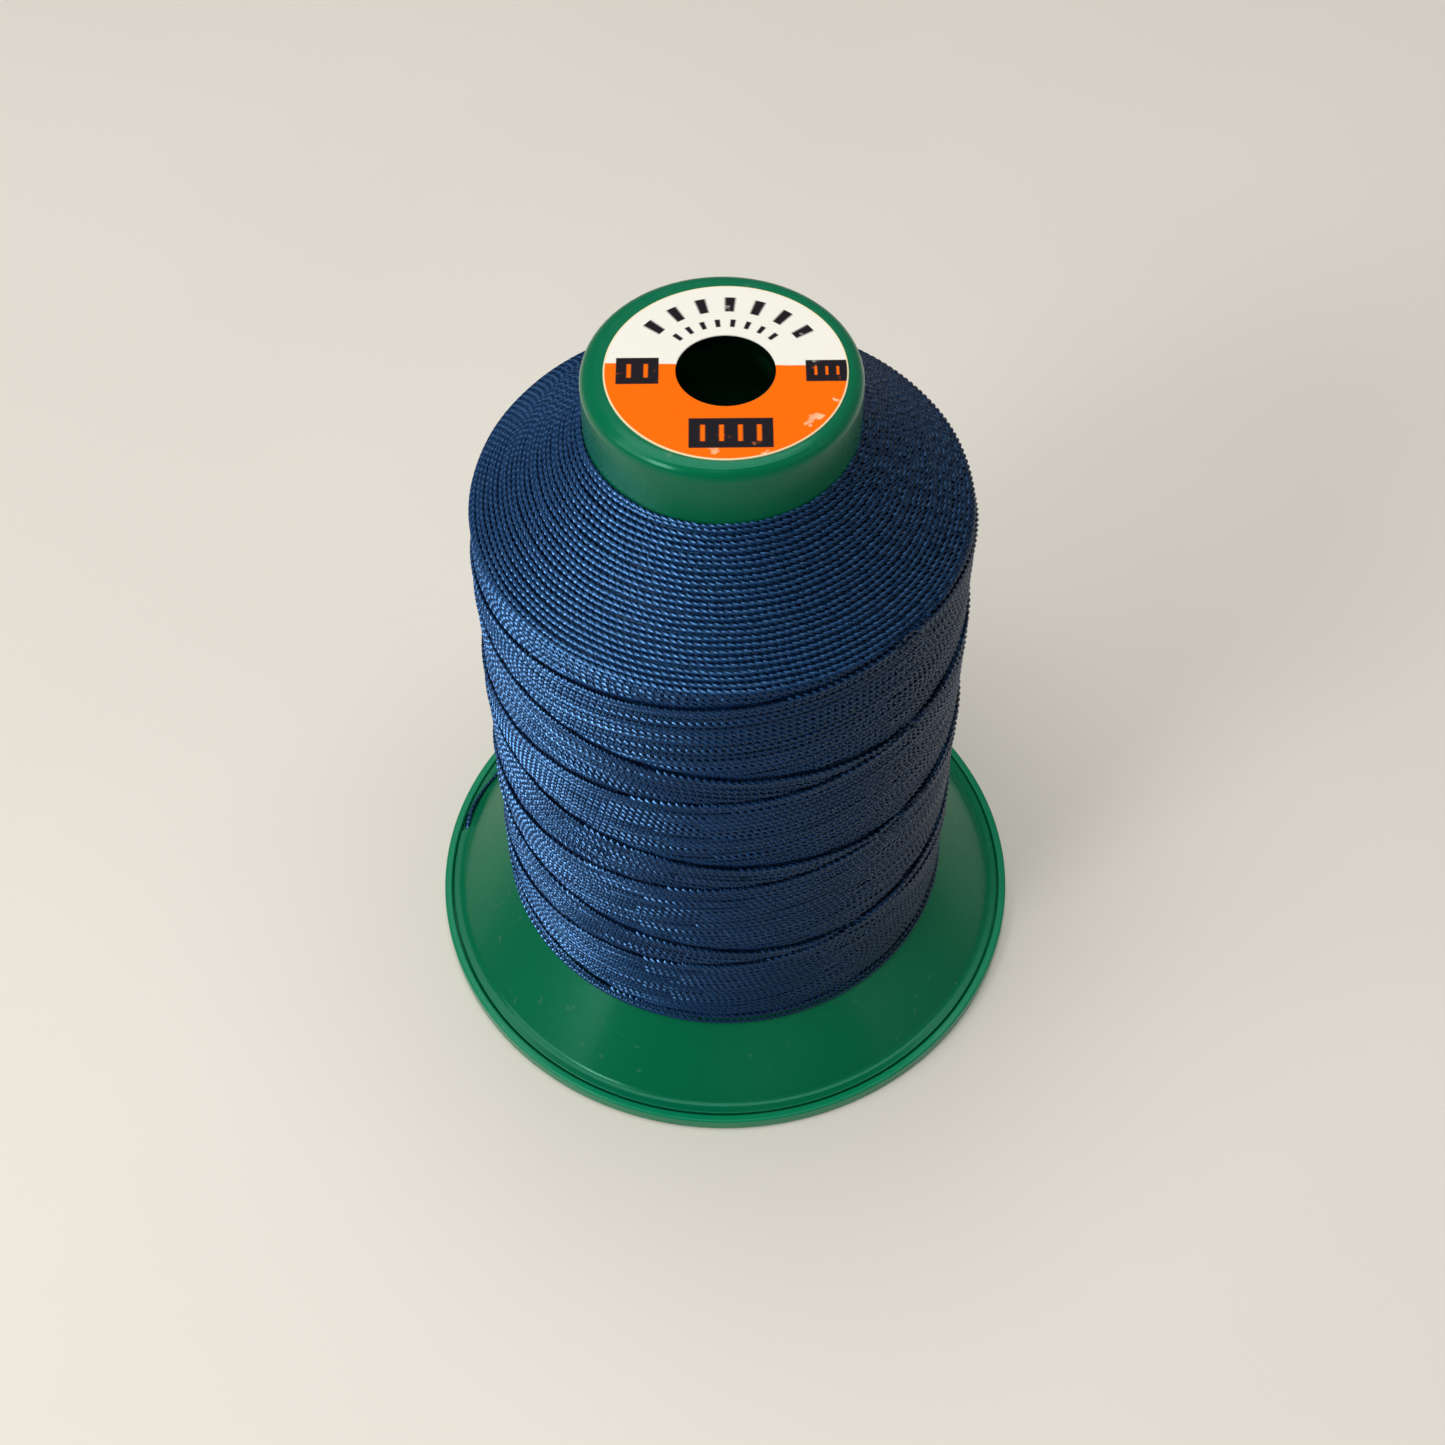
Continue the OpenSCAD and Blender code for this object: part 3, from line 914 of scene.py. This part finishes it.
def makeLabel(b):
    count = b["sides"]
    r0, r1, z0, z1, e = b["hole"], b["radius"], b["low"], b["high"], b["bevel"]
    profile = [(r0, z0 + 0.01), (r0, z1 - e), (r0 + e, z1)]
    profile += [(r, z1) for r in np.linspace(r0 + 0.6, r1 - 0.6, 8)]
    profile += [(r1 - e, z1), (r1, z1 - e), (r1, z0 + 0.01)]
    points, faces = [], []
    for k in range(count):
        a = 2 * math.pi * k / count
        for r, z in profile:
            # the cut card waves a hair along its outer edge
            lift = 0.012 * math.sin(5 * a + 0.6) * max(0, (r - 9) / 3.3) if z == z1 else 0
            points.append(((b["shiftX"] + r * math.cos(a)) * mm,
                           (b["shiftY"] + r * math.sin(a)) * mm, (z + lift) * mm))
    n = len(profile)
    for k in range(count):
        for j in range(n):
            nextK, nextJ = (k + 1) % count, (j + 1) % n
            faces.append((k * n + j, nextK * n + j, nextK * n + nextJ, k * n + nextJ))
    mesh = bpy.data.meshes.new("labelCard")
    mesh.from_pydata(points, [], faces)
    mesh.update()
    piece = bpy.data.objects.new("labelCard", mesh)
    scene.collection.objects.link(piece)
    return piece


def within(tree, value, low, high, soft=0.06):
    return sums(tree, "MULTIPLY", between(tree, value, low - soft, low + soft),
                between(tree, value, high + soft, high - soft))


def labelMaterial(b):
    mat, tree = newTree("printedCard")
    out = node(tree, "OutputMaterial", 900)
    skin = node(tree, "BsdfPrincipled", 600)
    place = node(tree, "TexCoord")
    split = node(tree, "SeparateXYZ")
    join(tree, place.outputs["Object"], split.inputs[0])
    x = sums(tree, "SUBTRACT", sums(tree, "MULTIPLY", split.outputs[0], 1000), b["shiftX"])
    y = sums(tree, "SUBTRACT", sums(tree, "MULTIPLY", split.outputs[1], 1000), b["shiftY"])
    r = sums(tree, "SQRT", sums(tree, "ADD", sums(tree, "MULTIPLY", x, x),
                                sums(tree, "MULTIPLY", y, y)))
    angle = sums(tree, "MULTIPLY", sums(tree, "ARCTAN2", y, x), 180 / math.pi)
    ink = 0.0
    paper = 0.0
    for left, right, near, far, bars in b["boxes"]:
        box = sums(tree, "MULTIPLY", within(tree, x, left, right), within(tree, y, near, far))
        ink = sums(tree, "MAXIMUM", box, ink)
        start, end = left + b["margin"], right - b["margin"]
        cell = sums(tree, "FRACT", sums(tree, "DIVIDE", sums(tree, "SUBTRACT", x, start),
                                        (end - start) / bars))
        bar = sums(tree, "MULTIPLY", within(tree, cell, 0.38, 0.62),
                   within(tree, y, near + 2 * b["margin"], far - 2 * b["margin"]))
        bar = sums(tree, "MULTIPLY", bar, within(tree, x, start, end))
        paper = sums(tree, "MAXIMUM", bar, paper)
    for radius, half, start, end, marks, share in b["arcs"]:
        step = (end - start) / marks
        cell = sums(tree, "FRACT", sums(tree, "DIVIDE", sums(tree, "SUBTRACT", angle, start),
                                        step))
        mark = sums(tree, "MULTIPLY", within(tree, cell, 0.5 - share / 2, 0.5 + share / 2),
                    within(tree, r, radius - half, radius + half))
        mark = sums(tree, "MULTIPLY", mark, within(tree, angle, start, end))
        ink = sums(tree, "MAXIMUM", mark, ink)
    # lower half, with a slightly uneven printed edge
    grain = node(tree, "TexNoise")
    grain.inputs["Scale"].default_value = 700
    grain.inputs["Detail"].default_value = 4
    join(tree, place.outputs["Object"], grain.inputs["Vector"])
    uneven = sums(tree, "MULTIPLY_ADD", sums(tree, "SUBTRACT", grain.outputs["Fac"], 0.5), 0.18, y)
    level = sums(tree, "MULTIPLY_ADD", x, b["splitTilt"], b["splitAt"])
    lower = between(tree, sums(tree, "SUBTRACT", uneven, level), 0.08, -0.08)
    rim = between(tree, r, b["radius"] - 0.22, b["radius"] - 0.10)
    colour = mixColour(tree, lower, b["white"], b["orange"])
    # rubbed spots, mostly near the rim at the right and front
    spots = node(tree, "TexNoise")
    spots.inputs["Scale"].default_value = 520
    spots.inputs["Detail"].default_value = 3
    join(tree, place.outputs["Object"], spots.inputs["Vector"])
    side = between(tree, sums(tree, "SUBTRACT", x, y), 6, 12)
    outer = between(tree, r, 9.2, 12.0)
    rub = sums(tree, "MULTIPLY", between(tree, spots.outputs["Fac"], 0.58, 0.64),
               sums(tree, "MULTIPLY", side, outer))
    colour = mixColour(tree, sums(tree, "MULTIPLY", rub, 0.75), colour, b["edge"])
    worn = sums(tree, "MULTIPLY_ADD", between(tree, grain.outputs["Fac"], 0.62, 0.72), -0.35, 1.0)
    colour = mixColour(tree, sums(tree, "MULTIPLY", ink, worn), colour, b["ink"])
    barColour = mixColour(tree, lower, b["white"], b["orange"])
    barColour = mixColour(tree, 0.5, barColour, b["orange"])
    colour = mixColour(tree, paper, colour, barColour)
    colour = mixColour(tree, rim, colour, b["edge"])
    join(tree, colour, skin.inputs["Base Color"])
    rough = sums(tree, "MULTIPLY_ADD", grain.outputs["Fac"], 0.2, b["roughness"] - 0.1)
    join(tree, sums(tree, "MULTIPLY_ADD", rim, 0.3, rough, clamp=True), skin.inputs["Roughness"])
    bump = node(tree, "Bump")
    bump.inputs["Strength"].default_value = b["bumpStrength"]
    bump.inputs["Distance"].default_value = b["bump"]
    join(tree, grain.outputs["Fac"], bump.inputs["Height"])
    join(tree, bump.outputs[0], skin.inputs["Normal"])
    skin.inputs["Specular IOR Level"].default_value = b["specular"]
    join(tree, skin.outputs[0], out.inputs[0])
    return mat


labelCard = makeLabel(label)
labelCard.data.materials.append(labelMaterial(label))
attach(labelCard, "spool")
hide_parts("top_label")
print("label printed")

bpy.context.view_layer.update()
print("finished")
